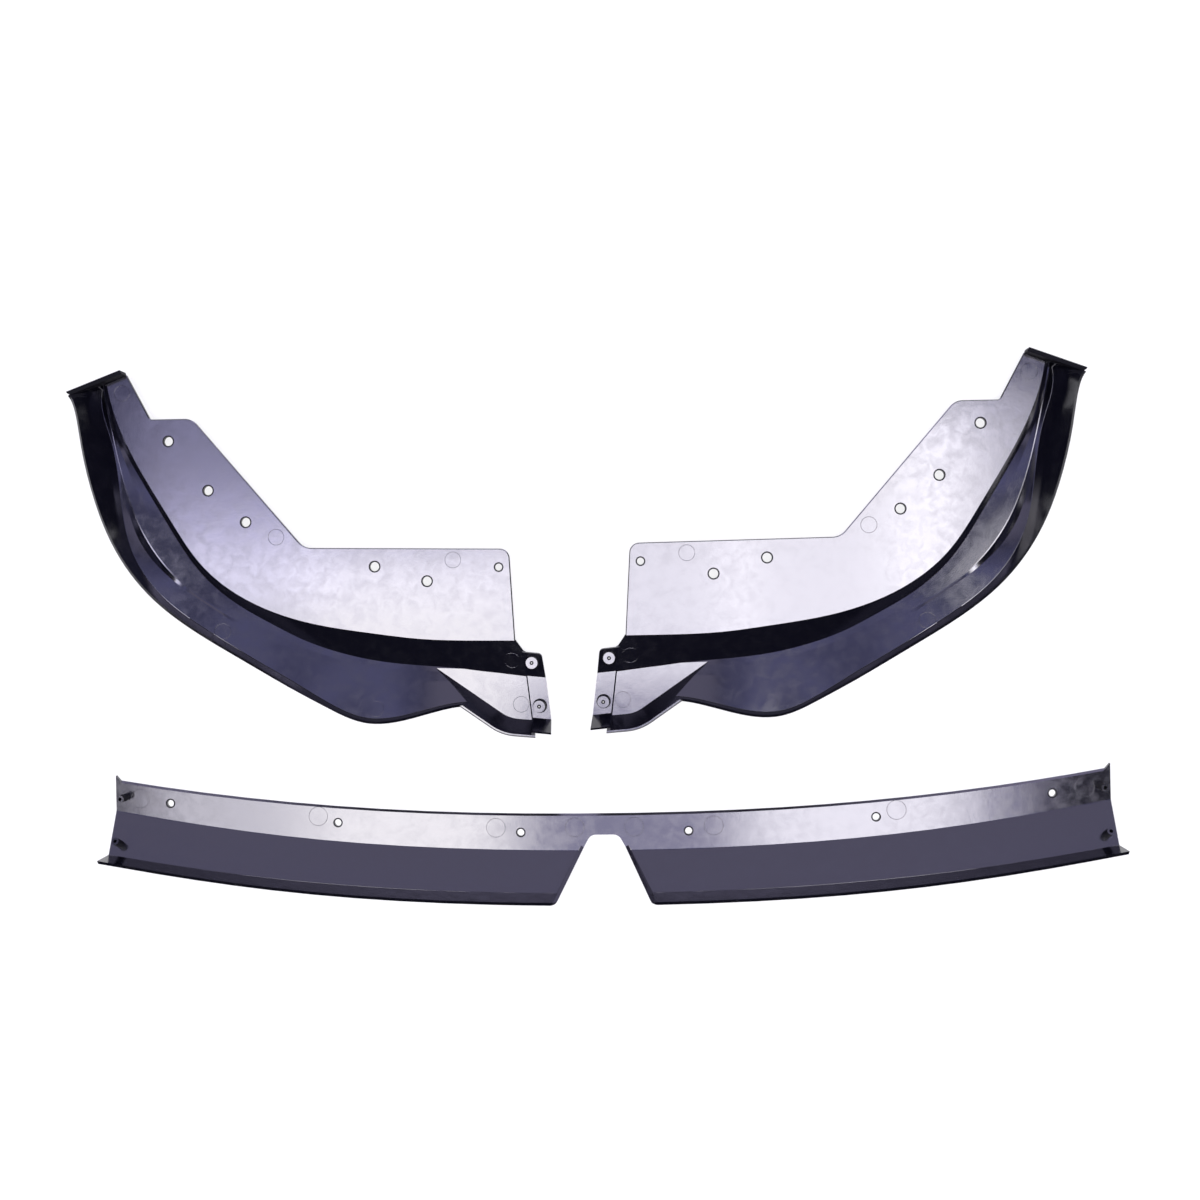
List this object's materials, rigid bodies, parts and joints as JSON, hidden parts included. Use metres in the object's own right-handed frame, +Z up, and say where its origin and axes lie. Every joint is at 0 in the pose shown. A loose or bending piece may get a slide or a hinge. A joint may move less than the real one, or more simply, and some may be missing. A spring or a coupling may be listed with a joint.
{
  "type": "front splitter lip",
  "caption": "Sectional front bumper splitter lip: mirrored corner wings with a flanged inner side and a bowed, notched centre strip, laid out inner side up for fitting under a bumper.",
  "frame": {"origin": "under the middle of the laid-out set, on the ground it lies on", "axes": "+X across the car along the centre strip, +Y to the rear, +Z up, towards the inner side that faces the bumper"},
  "size_m": [0.9252, 0.4794, 0.042],
  "materials": {
    "gloss_black_plastic": "glossy moulded black plastic with faint flow marks"
  },
  "bodies": {
    "root": {"right_corner_lip": "gloss_black_plastic", "left_corner_lip": "gloss_black_plastic", "centre_lip": "gloss_black_plastic"}
  },
  "joints": []
}
